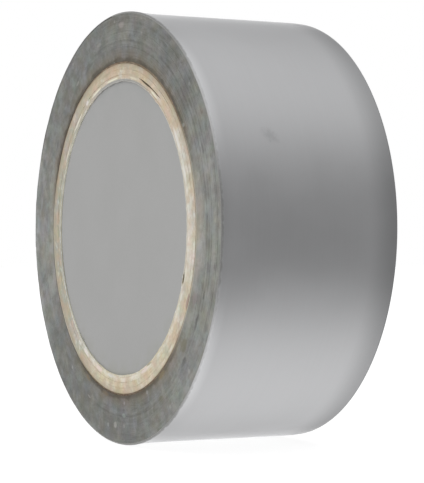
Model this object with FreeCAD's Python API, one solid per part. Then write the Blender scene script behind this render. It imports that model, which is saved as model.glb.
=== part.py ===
import FreeCAD, Part
import math
import os

# Roll of silver duct tape on a spiral-wound paper core, with a plain card disc
# sprung into the front mouth of the core.
#
# Millimetres.  The roll stands on its curved side with +Z up and the bore axis
# along Y; the origin is on that axis at mid width.  The disc is in the front
# mouth (-Y) and the back mouth (+Y) is open.
#
# Tape angles are degrees in the XZ plane, from +X towards +Z.

V = FreeCAD.Vector
Y_AXIS = V(0, 1, 0)

ROLL_WIDTH = 50.0               # tape width and core length
FRONT_Y = -ROLL_WIDTH / 2.0
BACK_Y = ROLL_WIDTH / 2.0
CUT_OVERRUN = 1.0               # cutting cylinders run this far past an end

# --- paper core -------------------------------------------------------------
BORE_R = 38.1                   # 3 in core
CHIPBOARD_T = 1.45
CORE_LAYERS = (                 # name, thickness; from the bore outwards
    ("core_inner_liner", 0.80),
    ("core_inner_ply", CHIPBOARD_T),
    ("core_middle_ply", CHIPBOARD_T),
    ("core_outer_ply", CHIPBOARD_T),
    ("core_kraft_wrap", 0.55),
)
CORE_R = BORE_R + sum(thickness for _, thickness in CORE_LAYERS)

WINDING_ANGLE = 57.0            # strip edge to tube axis
SEAM_GAP = 0.40                 # butt gap between the edges of one strip
FIRST_SEAM_ANGLE = 20.0         # where the liner's seam blade starts, +X towards -Z
SEAM_STEP = 75.0                # turn from one layer's seam to the next
BLADE_END_OVERRUN = 3.0         # seam blade past each end of the core
BLADE_RADIAL_OVERRUN = 0.25     # seam blade past each face of its layer

# --- card disc and its seat -------------------------------------------------
SEAT_R = 38.60                  # liner swaged out where the disc is pressed in
SEAT_DEPTH = 2.40               # from the front end
DISC_R = 38.55
DISC_RECESS = 0.60              # facing sits this far behind the front end
FACING_T = 0.15                 # grey paper facing
BOARD_T = 1.20                  # grey-white board

# --- tape -------------------------------------------------------------------
TAPE_LAYERS = (                 # name, thickness; from the outside inwards
    ("backing", 0.07),          # silver film
    ("gauze", 0.05),            # woven cloth
    ("adhesive", 0.06),         # tacky rubber
)
TAPE_T = sum(thickness for _, thickness in TAPE_LAYERS)
TAPE_TOP_R = 56.35              # over the finished roll at the free end
FREE_END_ANGLE = 185.0          # where the outermost turn stops
# Lengths of the peeling tail, in degrees from the peel line to the free end;
# together they take up the last quarter of the turn.
TAIL_ARCS = (5.0,) * 3 + (15.0,) * 5


# --- outer turn of the spiral -----------------------------------------------
# The turn climbs by one tape thickness.  It is drawn as four tangent quarter
# arcs, each larger than the one before and struck from its own centre, so
# every layer offset is a true arc.  The last quarter is centred on the bore.

def direction(angle):
    radians = math.radians(angle)
    return V(math.cos(radians), 0.0, math.sin(radians))


def spiral_quarters():
    """(start angle, radius over the tape, centre) of each quarter arc."""
    rise = TAPE_T / 4.0
    centre = V(0, 0, 0)
    quarters = []
    for i in range(4):
        start = FREE_END_ANGLE + 90.0 * i
        centre = centre - direction(start) * rise
        quarters.append((start, TAPE_TOP_R - (3 - i) * rise, centre))
    return quarters


QUARTERS = spiral_quarters()
# Stretches of the turn are lists of spans: (quarter index, start, end angle).
TURN_SPANS = [(i, start, start + 90.0) for i, (start, _, _) in enumerate(QUARTERS)]


def arc_point(quarter, angle, depth):
    """Point on a quarter arc, depth below the top of the tape."""
    _, radius, centre = QUARTERS[quarter]
    return centre + direction(angle) * (radius - depth)


def arc_edge(span, depth):
    quarter, start, end = span
    points = [arc_point(quarter, angle, depth)
              for angle in (start, (start + end) / 2.0, end)]
    return Part.Arc(*points).toShape()


def line_edge(start, end):
    return Part.LineSegment(start, end).toShape()


def extrude_outline(edges):
    """Closed XZ outline carried through the roll's whole width."""
    face = Part.Face(Part.Wire(Part.__sortEdges__(edges)))
    face.translate(V(0, FRONT_Y, 0))
    return face.extrude(V(0, ROLL_WIDTH, 0))


def tape_layers(prefix, spans):
    """The three layers of one stretch of tape, by part name."""
    first_quarter, start, _ = spans[0]
    last_quarter, _, end = spans[-1]
    layers = {}
    top = 0.0
    for name, thickness in TAPE_LAYERS:
        bottom = top + thickness
        edges = [arc_edge(span, top) for span in spans]
        edges += [arc_edge(span, bottom) for span in spans]
        for quarter, angle in ((first_quarter, start), (last_quarter, end)):
            edges.append(line_edge(arc_point(quarter, angle, top),
                                   arc_point(quarter, angle, bottom)))
        layers[prefix + name] = extrude_outline(edges)
        top = bottom
    return layers


def wound_tape():
    """Every turn but the last, as one solid with a step under the free end."""
    edges = [arc_edge(span, TAPE_T) for span in TURN_SPANS]
    edges.append(line_edge(arc_point(3, FREE_END_ANGLE + 360.0, TAPE_T),
                           arc_point(0, FREE_END_ANGLE, TAPE_T)))
    core = cylinder(CORE_R, FRONT_Y - CUT_OVERRUN, BACK_Y + CUT_OVERRUN)
    return extrude_outline(edges).cut(core)


def tail():
    """The peeling quarter, cut into lengths 1 (peel line) to 8 (free end)."""
    last_quarter, angle, _ = TURN_SPANS[-1]
    lengths = {}
    for number, arc in enumerate(TAIL_ARCS, 1):
        span = (last_quarter, angle, angle + arc)
        lengths.update(tape_layers(f"tail_{number}_", [span]))
        angle += arc
    return lengths


# --- core and disc ----------------------------------------------------------

def cylinder(radius, y_start, y_end):
    return Part.makeCylinder(radius, y_end - y_start, V(0, y_start, 0), Y_AXIS)


def tube(inner_r, outer_r):
    bore = cylinder(inner_r, FRONT_Y - CUT_OVERRUN, BACK_Y + CUT_OVERRUN)
    return cylinder(outer_r, FRONT_Y, BACK_Y).cut(bore)


def seam_blade(inner_r, outer_r, start_angle):
    """Thin helical blade that cuts the gap between a layer's strip edges."""
    mid_r = (inner_r + outer_r) / 2.0
    pitch = 2.0 * math.pi * mid_r / math.tan(math.radians(WINDING_ANGLE))
    height = ROLL_WIDTH + 2.0 * BLADE_END_OVERRUN
    helix = Part.Wire(Part.makeHelix(pitch, height, mid_r).Edges)

    # Rectangle square to the start of the helix
    tangent = V(0, 2.0 * math.pi * mid_r, pitch)
    tangent.normalize()
    radial = V(1, 0, 0)
    radial_reach = radial * ((outer_r - inner_r) / 2.0 + BLADE_RADIAL_OVERRUN)
    side_reach = radial.cross(tangent) * (SEAM_GAP / 2.0)
    corners = [radial * mid_r + radial_reach * across + side_reach * along
               for across, along in ((-1, -1), (1, -1), (1, 1), (-1, 1))]
    profile = Part.makePolygon(corners + [corners[0]])

    blade = helix.makePipeShell([profile], True, True)   # solid, Frenet
    if blade.Volume < 0:    # the sweep may come out with its faces inward
        blade.reverse()

    # The helix rises along +Z from z = 0: centre it and lay it along +Y
    blade.translate(V(0, 0, -height / 2.0))
    blade.rotate(V(0, 0, 0), V(1, 0, 0), -90.0)
    blade.rotate(V(0, 0, 0), Y_AXIS, start_angle)
    return blade


def core():
    """Five tubes, each a spirally wound strip with a butt seam."""
    layers = {}
    inner_r = BORE_R
    for i, (name, thickness) in enumerate(CORE_LAYERS):
        outer_r = inner_r + thickness
        layer = tube(inner_r, outer_r)
        if i == 0:          # the liner carries the disc seat
            layer = layer.cut(
                cylinder(SEAT_R, FRONT_Y - CUT_OVERRUN, FRONT_Y + SEAT_DEPTH))
        seam_angle = FIRST_SEAM_ANGLE + SEAM_STEP * i
        layers[name] = layer.cut(seam_blade(inner_r, outer_r, seam_angle))
        inner_r = outer_r
    return layers


def disc():
    """Paper facing towards the front, board behind it."""
    facing_front = FRONT_Y + DISC_RECESS
    board_front = facing_front + FACING_T
    return {
        "disc_facing": cylinder(DISC_R, facing_front, board_front),
        "disc_board": cylinder(DISC_R, board_front, board_front + BOARD_T),
    }


parts = {
    **core(),
    "wound_tape": wound_tape(),
    **tape_layers("last_turn_", TURN_SPANS[:3]),    # stays on the roll
    **tail(),
    **disc(),
}

os.makedirs("parts", exist_ok=True)
for name, shape in parts.items():
    shape.exportStep(os.path.join("parts", name + ".step"))
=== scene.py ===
"""Roll of silver duct tape on a spiral-wound paper core, with a card disc in its front mouth.

The roll's axis is Y and its front is -Y; Z is up.  Angles run in the XZ plane from +X
towards +Z, so that 0 is to the right and 90 at the top, seen from the front.
Lengths are in millimetres unless a name ends in _M; meshes are written in metres.
"""
import bpy
import math
from functools import cached_property
import numpy as np
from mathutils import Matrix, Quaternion, Vector

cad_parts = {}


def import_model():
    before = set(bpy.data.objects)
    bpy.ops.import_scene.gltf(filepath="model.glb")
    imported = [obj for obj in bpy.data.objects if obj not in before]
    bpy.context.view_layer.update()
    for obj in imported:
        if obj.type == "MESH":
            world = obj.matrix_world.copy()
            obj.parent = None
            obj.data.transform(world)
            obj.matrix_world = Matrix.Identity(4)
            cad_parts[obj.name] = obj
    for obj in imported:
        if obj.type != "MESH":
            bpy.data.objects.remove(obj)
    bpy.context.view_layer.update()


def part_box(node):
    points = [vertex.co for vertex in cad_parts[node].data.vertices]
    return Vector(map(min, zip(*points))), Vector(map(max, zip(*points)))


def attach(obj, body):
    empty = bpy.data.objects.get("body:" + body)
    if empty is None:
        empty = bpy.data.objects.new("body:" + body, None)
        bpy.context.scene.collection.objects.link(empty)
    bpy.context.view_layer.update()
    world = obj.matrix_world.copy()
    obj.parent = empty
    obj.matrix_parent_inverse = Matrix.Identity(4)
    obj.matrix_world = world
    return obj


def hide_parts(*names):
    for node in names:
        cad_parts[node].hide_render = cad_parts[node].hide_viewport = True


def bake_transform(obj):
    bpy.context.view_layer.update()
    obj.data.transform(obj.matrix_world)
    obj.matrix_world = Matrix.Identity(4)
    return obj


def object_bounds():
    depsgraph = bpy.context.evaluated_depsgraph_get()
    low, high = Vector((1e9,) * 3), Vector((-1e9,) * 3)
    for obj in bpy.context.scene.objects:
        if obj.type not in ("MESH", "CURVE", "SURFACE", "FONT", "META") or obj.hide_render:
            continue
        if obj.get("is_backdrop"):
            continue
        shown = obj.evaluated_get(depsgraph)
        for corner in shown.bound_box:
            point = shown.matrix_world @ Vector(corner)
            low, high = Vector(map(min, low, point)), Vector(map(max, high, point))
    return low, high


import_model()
scene = bpy.context.scene
TAU = 2.0 * math.pi

# --- sizes --------------------------------------------------------------------
HALF_W = round(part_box("wound_tape")[1].y * 1000.0, 3)     # half the roll's width

# core: liner, three plies of board, kraft wrap; each radius is the part's outside
BORE_R = 38.1
PLY_T = 1.45
LINER_R = BORE_R + 0.80
PLY1_R = LINER_R + PLY_T
PLY2_R = PLY1_R + PLY_T
PLY3_R = PLY2_R + PLY_T
CORE_R = PLY3_R + 0.55
PLY_GAP = 0.01
SEAT_R, SEAT_DEPTH = BORE_R + 0.50, 2.4     # step in the mouth that takes the disc
SEAM_W, SEAM_DEG = 0.40, 20.0               # the liner's butt seam, and its angle at mid width
WIND = math.tan(math.radians(57.0))         # strip edge to core axis

# tape
TOP_R = 56.35                               # outside of the last turn
FILM_T, GAUZE_T, ADHESIVE_T = 0.07, 0.05, 0.06
TAPE_T = FILM_T + GAUZE_T + ADHESIVE_T
WARP_PITCH, WEFT_PITCH = 1.27, 2.1          # cloth threads: along the strip, across it
TURNS = 70
FREE_END = 185.0                            # angle of the free end
ARCS = [5.0] * 3 + [15.0] * 5               # lengths of the jointed tail, degrees
TAIL_ARC = sum(ARCS)
TAIL_START = FREE_END + 360.0 - TAIL_ARC

# card disc
DISC_R = SEAT_R - 0.06
DISC_FRONT = -HALF_W + 0.60
FACING_T, BOARD_T = 0.15, 1.20
DISC_CURL = -0.22                           # how far the rim leans to the front


# --- numbers ------------------------------------------------------------------
def rng(seed):
    return np.random.RandomState(seed)


def ease(share):
    return share * share * (3.0 - 2.0 * share)


def smooth(start, end, x):
    """0 at start, 1 at end, smooth between; start may be the larger."""
    return ease(np.clip((np.asarray(x, float) - start) / (end - start), 0.0, 1.0))


def bump_at(x, centre, half):
    """1 at centre, 0 beyond half, smooth."""
    return smooth(1.0, 0.0, np.abs(np.asarray(x, float) - centre) / half)


def arc_bump(deg, centre, half):
    """bump_at round the circle, in degrees."""
    return bump_at((np.asarray(deg, float) - centre + 180.0) % 360.0 - 180.0, 0, half)


def arc_bumps(deg, bumps):
    """Sum of bumps given as centre, half width, height."""
    return sum((height * arc_bump(deg, centre, half) for centre, half, height in bumps), 0 * deg)


def ring_noise(phi, cells, seed, fall=0.5):
    """Smooth noise round a circle, -1..1.  phi in radians."""
    out, gain, total = np.zeros_like(phi), 1.0, 0.0
    for octave in range(3):
        count = cells * 2 ** octave
        lattice = rng(seed + 31 * octave).uniform(-1, 1, count)
        place = (phi / TAU % 1.0) * count
        cell = np.floor(place).astype(int)
        share = ease(place - cell)
        out += gain * (lattice[cell % count] * (1 - share) + lattice[(cell + 1) % count] * share)
        total += gain
        gain *= fall
    return out / total


def field_noise(u, v, cells_u, cells_v, seed, wrap_v=True, octaves=3):
    """Smooth noise over u, v in 0..1 on a lattice of cells, -1..1; v may wrap."""
    out, gain, total = np.zeros(np.broadcast(u, v).shape), 1.0, 0.0
    for octave in range(octaves):
        count_u, count_v = cells_u * 2 ** octave, cells_v * 2 ** octave
        lattice = rng(seed + 57 * octave).uniform(-1, 1, (count_u + 2, count_v + 2))
        x = np.clip(u, 0, 1) * count_u
        y = (v % 1.0 if wrap_v else np.clip(v, 0, 1)) * count_v
        i, j = np.floor(x).astype(int), np.floor(y).astype(int)
        share_u, share_v = ease(x - i), ease(y - j)
        low = j % count_v if wrap_v else j
        high = (j + 1) % count_v if wrap_v else j + 1
        at_low = lattice[i, low] * (1 - share_u) + lattice[i + 1, low] * share_u
        at_high = lattice[i, high] * (1 - share_u) + lattice[i + 1, high] * share_u
        out += gain * (at_low * (1 - share_v) + at_high * share_v)
        total += gain
        gain *= 0.5
    return out / total


def across_width(y):
    """0 at the front edge, 1 at the back."""
    return (y + HALF_W) / (2 * HALF_W)


# --- the strip's outer surface: four tangent quarter arcs -----------------------
def unit(deg):
    """Direction outward from the axis."""
    phi = np.radians(deg)
    return np.stack([np.cos(phi), np.zeros_like(phi), np.sin(phi)], -1)


def tangent(deg):
    """Direction along the strip, towards rising angle."""
    phi = np.radians(deg)
    return np.stack([-np.sin(phi), np.zeros_like(phi), np.cos(phi)], -1)


def quarter_arcs():
    """Radii and centres of the arcs; over all four the strip climbs its own thickness."""
    rise = TAPE_T / 4.0
    radii = [TOP_R - 3 * rise]
    centres = [unit(FREE_END) * -rise]
    for i in range(1, 4):
        radii.append(radii[-1] + rise)
        centres.append(centres[-1] - unit(FREE_END + 90.0 * i) * rise)
    return np.array(radii), np.array(centres)


QUARTER_R, QUARTER_CENTRE = quarter_arcs()


def strip_arc(deg):
    """Radius and centre of the arc at deg, which runs from FREE_END to a turn later."""
    quarter = np.clip(((deg - FREE_END) // 90.0).astype(int), 0, 3)
    return QUARTER_R[quarter], QUARTER_CENTRE[quarter]


def strip_point(deg, depth):
    """Points on the strip's top surface lowered by depth."""
    deg = np.asarray(deg, float)
    radius, centre = strip_arc(deg)
    return centre + unit(deg) * (radius - depth)[..., None]


# --- meshes -------------------------------------------------------------------
def quads(count_u, count_v, close_u=False, close_v=False):
    """Faces of a grid of points, u being the slow index."""
    i, j = np.meshgrid(np.arange(count_u if close_u else count_u - 1),
                       np.arange(count_v if close_v else count_v - 1), indexing="ij")
    next_i, next_j = (i + 1) % count_u, (j + 1) % count_v
    corners = [i * count_v + j, next_i * count_v + j,
               next_i * count_v + next_j, i * count_v + next_j]
    return np.stack(corners, -1).reshape(-1, 4)


def signed_volume(points, faces):
    a, b, c, d = (points[faces[:, k]] for k in range(4))
    return (np.einsum("ij,ij->i", a, np.cross(b, c))
            + np.einsum("ij,ij->i", a, np.cross(c, d))).sum() / 6.0


def piece(name, points, faces, materials, face_material=None, sharp=35.0, uv=None):
    """A closed mesh of quads, faces turned outward.  sharp is an angle in degrees."""
    points = np.asarray(points, float).reshape(-1, 3)
    if signed_volume(points, faces) < 0:
        faces = faces[:, ::-1]
    count = len(faces)
    mesh = bpy.data.meshes.new(name)
    mesh.vertices.add(len(points))
    mesh.vertices.foreach_set("co", (points / 1000.0).astype(np.float32).ravel())
    mesh.loops.add(4 * count)
    mesh.loops.foreach_set("vertex_index", faces.ravel().astype(np.int32))
    mesh.polygons.add(count)
    mesh.polygons.foreach_set("loop_start", np.arange(0, 4 * count, 4, dtype=np.int32))
    for material in materials:
        mesh.materials.append(material)
    if face_material is not None:
        mesh.polygons.foreach_set("material_index", np.asarray(face_material, np.int32))
    if uv is not None:
        layer = mesh.uv_layers.new(name="strip")
        corners = np.asarray(uv, np.float32).reshape(-1, 2)[faces.ravel()]
        layer.data.foreach_set("uv", corners.ravel())
    mesh.update(calc_edges=True)
    mesh.validate()
    mesh.shade_smooth()
    if sharp:
        mesh.set_sharp_from_angle(angle=math.radians(sharp))
    ob = bpy.data.objects.new(name, mesh)
    scene.collection.objects.link(ob)
    return ob


def slab(name, top, bottom, material, uv, sharp=35.0):
    """Closed sheet from a top and a bottom grid of the same size."""
    rows, columns = top.shape[:2]
    count = rows * columns
    top_faces = quads(rows, columns)
    index = np.arange(count).reshape(rows, columns)
    faces = [top_faces, top_faces[:, ::-1] + count]
    for line, flip in ((index[:, 0], False), (index[:, -1], True),
                       (index[0, :], True), (index[-1, :], False)):
        here, after = line[:-1], line[1:]
        side = np.stack([here, here + count, after + count, after], -1)
        faces.append(side[:, ::-1] if flip else side)
    points = np.concatenate([top.reshape(-1, 3), bottom.reshape(-1, 3)])
    return piece(name, points, np.concatenate(faces), [material], sharp=sharp,
                 uv=np.concatenate([uv.reshape(-1, 2)] * 2))


def polar_points(radius, y, phi):
    return np.stack([radius * np.cos(phi), y, radius * np.sin(phi)], -1)


def ring_piece(name, radius, y, phi, materials, **options):
    """Closed ring: rows run round the section, columns round the axis."""
    return piece(name, polar_points(radius, y, phi), quads(*radius.shape, True, True),
                 materials, **options)


def mount(ob, body, nodes):
    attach(ob, body)
    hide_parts(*nodes)


# --- shader helpers -------------------------------------------------------------
class Signal:
    """A shader socket that can be worked with like a number or a colour."""

    def __init__(self, graph, socket):
        self.graph, self.socket = graph, socket

    def __add__(self, other):
        return self.graph.math("ADD", self, other)

    def __radd__(self, other):
        return self.graph.math("ADD", other, self)

    def __sub__(self, other):
        return self.graph.math("SUBTRACT", self, other)

    def __rsub__(self, other):
        return self.graph.math("SUBTRACT", other, self)

    def __mul__(self, other):
        return self.graph.math("MULTIPLY", self, other)

    def __truediv__(self, other):
        return self.graph.math("DIVIDE", self, other)

    def __neg__(self):
        return self * -1.0

    def __abs__(self):
        return self.graph.math("ABSOLUTE", self)

    def ramp(self, over, to=(0.0, 1.0)):
        """Smooth step: `to` gives the values at the two ends of `over`."""
        return self.graph.node("MapRange", inputs=dict(enumerate((self, *over, *to))),
                               interpolation_type="SMOOTHSTEP")

    def toward(self, colour, by):
        """This colour mixed towards another by an amount."""
        return self.graph.mix(by, self, colour)

    def layers(self, rows):
        """Colours laid over this one: colour, signal, its range, amount at each end."""
        base = self
        for colour, signal, over, amounts in rows:
            base = base.toward(colour, by=signal.ramp(over, amounts))
        return base

    def times(self, red, green, blue):
        """This colour with each channel multiplied by a signal."""
        gain = self.graph.node("CombineColor", inputs={0: red, 1: green, 2: blue})
        return self.graph.mix(1.0, self, gain, "MULTIPLY")

    def times_colour(self, colour):
        return self.graph.mix(1.0, self, colour, "MULTIPLY")


class Graph:
    """Shader nodes of a material or world.  Math nodes get math_inputs of their inputs set."""

    def __init__(self, owner, math_inputs=3):
        owner.use_nodes = True
        self.tree = owner.node_tree
        self.tree.nodes.clear()
        self.math_inputs = math_inputs

    def put(self, socket, value):
        if isinstance(value, Signal):
            self.tree.links.new(value.socket, socket)
        elif socket.type == "RGBA":
            socket.default_value = (*value, 1.0)
        else:
            socket.default_value = value

    def node(self, kind, out=0, inputs=None, **properties):
        node = self.tree.nodes.new("ShaderNode" + kind)
        for key, value in properties.items():
            setattr(node, key, value)
        for key, value in (inputs or {}).items():
            self.put(node.inputs[key], value)
        return Signal(self, node.outputs[out])

    def output(self, kind, shader):
        self.put(self.tree.nodes.new("ShaderNodeOutput" + kind).inputs[0], shader)

    def math(self, kind, *values):
        values = (values + (0.0, 0.0))[:self.math_inputs]
        return self.node("Math", inputs=dict(enumerate(values)), operation=kind)

    def hypot(self, a, b):
        return self.math("SQRT", a * a + b * b)

    def mix(self, by, first, second, blend="MIX"):
        return self.node("Mix", 2, {0: by, 6: first, 7: second},
                         data_type="RGBA", blend_type=blend, clamp_factor=True)

    def vec(self, x, y, z):
        return self.node("CombineXYZ", inputs={0: x, 1: y, 2: z})

    def split(self, vector):
        node = self.tree.nodes.new("ShaderNodeSeparateXYZ")
        self.put(node.inputs[0], vector)
        return [Signal(self, socket) for socket in node.outputs]

    def noise(self, vector, scale=1.0, detail=3.0, rough=0.6):
        return self.node("TexNoise", inputs={"Vector": vector, "Scale": scale,
                                             "Detail": detail, "Roughness": rough})


class Material(Graph):
    """A material; places on the piece are made into nodes when first asked for."""

    def __init__(self, name):
        self.material = bpy.data.materials.new(name)
        super().__init__(self.material)

    @cached_property
    def place(self):
        """Object position in millimetres."""
        metres = self.node("TexCoord", "Object")
        return self.node("VectorMath", 0, {0: metres, 1: (1000.0,) * 3}, operation="MULTIPLY")

    @cached_property
    def xyz(self):
        return self.split(self.place)

    @cached_property
    def radius(self):
        return self.hypot(self.xyz[0], self.xyz[2])

    @cached_property
    def safe_radius(self):
        return self.math("MAXIMUM", self.radius, 0.001)

    @cached_property
    def cosine(self):
        """Of the angle round the axis: 1 to the right, -1 to the left."""
        return self.xyz[0] / self.safe_radius

    @cached_property
    def sine(self):
        """Of the angle round the axis: 1 at the top, -1 at the bottom."""
        return self.xyz[2] / self.safe_radius

    def strip_uv(self):
        """Arc length and width position on the strip, millimetres."""
        return self.split(self.node("UVMap", uv_map="strip"))[:2]

    def ring_vec(self, radial, around):
        """Noise space scaled apart along the radius and round the axis."""
        return self.vec(self.radius * radial, self.cosine * around, self.sine * around)

    def outwardness(self):
        """1 where the surface faces away from the axis, -1 where it faces the axis."""
        normal = self.node("NewGeometry", 1)
        return self.node("VectorMath", 1, {0: normal, 1: self.vec(self.cosine, 0.0, self.sine)},
                         operation="DOT_PRODUCT")

    def mark(self, base, spot, wobble):
        """One soft-edged mark on an end face."""
        angle, centre_r, half_along, half_across, colour, strength = spot
        cosine, sine = math.cos(math.radians(angle)), math.sin(math.radians(angle))
        x, _, z = self.xyz
        radial = (x * cosine + z * sine - centre_r) / (1.3 * half_across)
        turning = (z * cosine - x * sine) / (1.3 * half_along)
        distance = self.hypot(radial, turning) + (wobble - 0.5) * 1.1
        return base.toward(colour, by=distance.ramp(over=(0.45, 1.0), to=(strength, 0.0)))

    def marks(self, base, spots, wobble, behind):
        """Marks on the faces that lie in front of y = behind."""
        marked = base
        for spot in spots:
            marked = self.mark(marked, spot, wobble)
        return base.toward(marked, by=self.math("LESS_THAN", self.xyz[1], behind))

    def drift(self, base, scale, red, blue):
        """Slow wander of hue over the piece."""
        gains = []
        for offset, amount in (((31.0, 7.0, 13.0), red), ((-17.0, 5.0, 41.0), blue)):
            moved = self.node("VectorMath", 0, {0: self.place, 1: offset}, operation="ADD")
            gains.append((self.noise(moved, scale, detail=3.0, rough=0.55) - 0.5) * amount + 1.0)
        return base.times(gains[0], 1.0, gains[1])

    def finish(self, base, roughness, specular, relief, strength, depth_m, metallic=0.0):
        """Principled surface; relief is bumped by strength over a depth in metres."""
        bump = self.node("Bump", inputs={"Strength": strength, "Distance": depth_m,
                                         "Height": relief})
        self.output("Material", self.node("BsdfPrincipled", inputs={
            "Base Color": base, "Metallic": metallic, "Roughness": roughness,
            "Specular IOR Level": specular, "Normal": bump}))
        return self.material


# --- tape materials ---------------------------------------------------------------
SMUDGE_ALONG, SMUDGE_Y = 377.2, -9.2        # centre of the smudge on the film


def film_smudge(mat, along, across):
    """A ragged, slanting spot on the front half of the barrel."""
    du, dv = along - SMUDGE_ALONG, across - SMUDGE_Y
    distance = mat.hypot((dv * 0.77 - du * 0.64) / 3.6, (dv * 0.64 + du * 0.77) / 2.3)
    ragged = mat.noise(mat.vec(along, across, 5.0), scale=1.1) - 0.5
    return (distance + ragged * 1.5).ramp(over=(0.0, 1.0), to=(1.0, 0.0))


def film_material():
    """Silver film: satin, with draw lines along the strip, soft smudges and a very
    faint print-through of the cloth; a painted highlight by the front edge, painted shade at the
    back and over the top."""
    mat = Material("tape_film")
    along, across = mat.strip_uv()
    draw_lines = mat.noise(mat.vec(along * 0.012, across * 1.4, 3.1), detail=4.0)
    cloud = mat.noise(mat.vec(along * 0.06, across * 0.06, 7.7), rough=0.5)
    grain = mat.noise(mat.vec(along, across, 0.0), scale=3.2, detail=2.0)
    base = mat.mix(cloud.ramp(over=(0.3, 0.7)), (0.50, 0.502, 0.505), (0.53, 0.532, 0.536))
    base = base.layers((
        ((0.57, 0.572, 0.577), draw_lines, (0.35, 0.65), (0.0, 0.10)),
        ((0.42, 0.422, 0.425), grain, (0.35, 0.75), (0.0, 0.10))))
    base = base.toward((0.25, 0.251, 0.259), by=film_smudge(mat, along, across) * 0.30)
    # painted light: a painted highlight by the front edge, painted shade darker to the back and
    # over the top
    level = abs(mat.sine)
    painted_shine = (level.ramp(over=(0.12, 0.50), to=(-0.05, 0.22))
             * level.ramp(over=(0.68, 0.92), to=(1.0, -0.1)))
    highlight_band = level.ramp(over=(0.15, 0.40)) * level.ramp(over=(0.62, 0.85), to=(1.0, 0.0))
    painted_light_gain = (across.ramp(over=(-24.6, -21.2), to=(1.0, 0.0)) * painted_shine
              + across.ramp(over=(16.0, 24.4), to=(1.0, 0.73)))
    # painted shade: darker over the top, more towards the back
    painted_top_shade = across.ramp(over=(-16.0, 22.0)) * mat.sine.ramp(over=(0.45, 0.90), to=(0.0, -0.075))
    painted_light_gain = painted_light_gain + painted_top_shade
    base = base.times(painted_light_gain, painted_light_gain, painted_light_gain)
    # front slit edge grey with adhesive and dirt
    ragged = mat.noise(mat.vec(along, across, 9.0), scale=0.8, detail=4.0)
    rim = (across + ragged * 0.9).ramp(over=(-24.38, -23.92), to=(1.0, 0.0))
    # the edge's grey is weakened along the band of the painted highlight
    rim = rim * (1.0 - highlight_band * 0.55)
    base = base.toward((0.22, 0.22, 0.21), by=rim * 0.85)
    warp = mat.math("SINE", across * (TAU / WARP_PITCH))
    weft = mat.math("SINE", along * (TAU / WEFT_PITCH))
    weave = warp * 0.5 + weft * 0.35
    return mat.finish(base, roughness=cloud.ramp(over=(0.3, 0.7), to=(0.40, 0.47)), specular=0.4,
                      relief=weave * 0.22 + grain + draw_lines * 0.35, strength=0.10,
                      depth_m=0.00004, metallic=(1.0 - rim * 0.75) * 0.78)


PALE, DARK, OLIVE = (0.47, 0.46, 0.43), (0.095, 0.095, 0.088), (0.215, 0.205, 0.13)
BLUISH = (0.36, 0.375, 0.39)
# marks on the tape's front face: angle in degrees, radius, half length along the turn,
# half width across it, colour, strength
FRONT_MARKS = [
    (89, 53.4, 1.5, 0.75, (0.42, 0.38, 0.36), 0.75), (83, 50.6, 0.7, 0.5, DARK, 0.4),
    (124, 48.2, 1.0, 0.35, PALE, 0.45), (172, 52.4, 1.9, 0.6, BLUISH, 0.45),
    (105, 51.0, 1.3, 0.5, PALE, 0.30), (60, 53.0, 1.6, 0.4, DARK, 0.35),
    (22, 50.6, 1.5, 0.55, DARK, 0.45), (14, 53.2, 1.1, 0.5, BLUISH, 0.40),
    (3, 51.5, 2.4, 1.3, BLUISH, 0.45), (38, 54.6, 1.4, 0.5, PALE, 0.30),
    (140, 52.0, 1.0, 0.7, BLUISH, 0.30), (150, 46.9, 1.4, 0.7, DARK, 0.35),
    (267.5, 51.7, 0.8, 0.8, PALE, 0.75), (273.5, 48.9, 1.0, 0.55, (0.38, 0.43, 0.39), 0.65),
    (270, 50.2, 1.0, 0.6, DARK, 0.40), (247.5, 49.1, 0.9, 0.35, PALE, 0.50),
    (226, 47.2, 2.2, 0.9, BLUISH, 0.30), (300, 49.4, 1.2, 0.5, OLIVE, 0.35),
    (318, 49.6, 2.0, 0.55, DARK, 0.50), (333, 49.6, 2.6, 0.5, DARK, 0.50),
    (341, 50.3, 1.0, 0.4, DARK, 0.45), (316, 54.6, 1.2, 0.7, BLUISH, 0.55),
    (327, 54.5, 1.2, 1.0, BLUISH, 0.45), (322, 47.0, 2.2, 1.2, OLIVE, 0.55),
    (259, 44.6, 1.7, 0.6, (0.28, 0.215, 0.14), 0.50),
    (304, 44.5, 1.8, 0.7, (0.31, 0.25, 0.14), 0.60),
    (244, 44.8, 1.5, 0.7, (0.29, 0.22, 0.13), 0.50),
    (5, 46.2, 4.5, 1.7, (0.40, 0.345, 0.305), 0.40),
    (352, 47.6, 2.6, 1.8, (0.40, 0.385, 0.35), 0.45),
    (338, 46.0, 1.6, 0.9, (0.37, 0.30, 0.30), 0.35),
]


def pale_sides(mat):
    """Where the core's edge is made paler: right, and left a little below the middle."""
    right = mat.cosine * 0.996 - mat.sine * 0.087
    left = mat.cosine * -0.94 - mat.sine * 0.342
    return mat.math("MAXIMUM", right.ramp(over=(0.70, 0.95)), left.ramp(over=(0.70, 0.95)))


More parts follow.
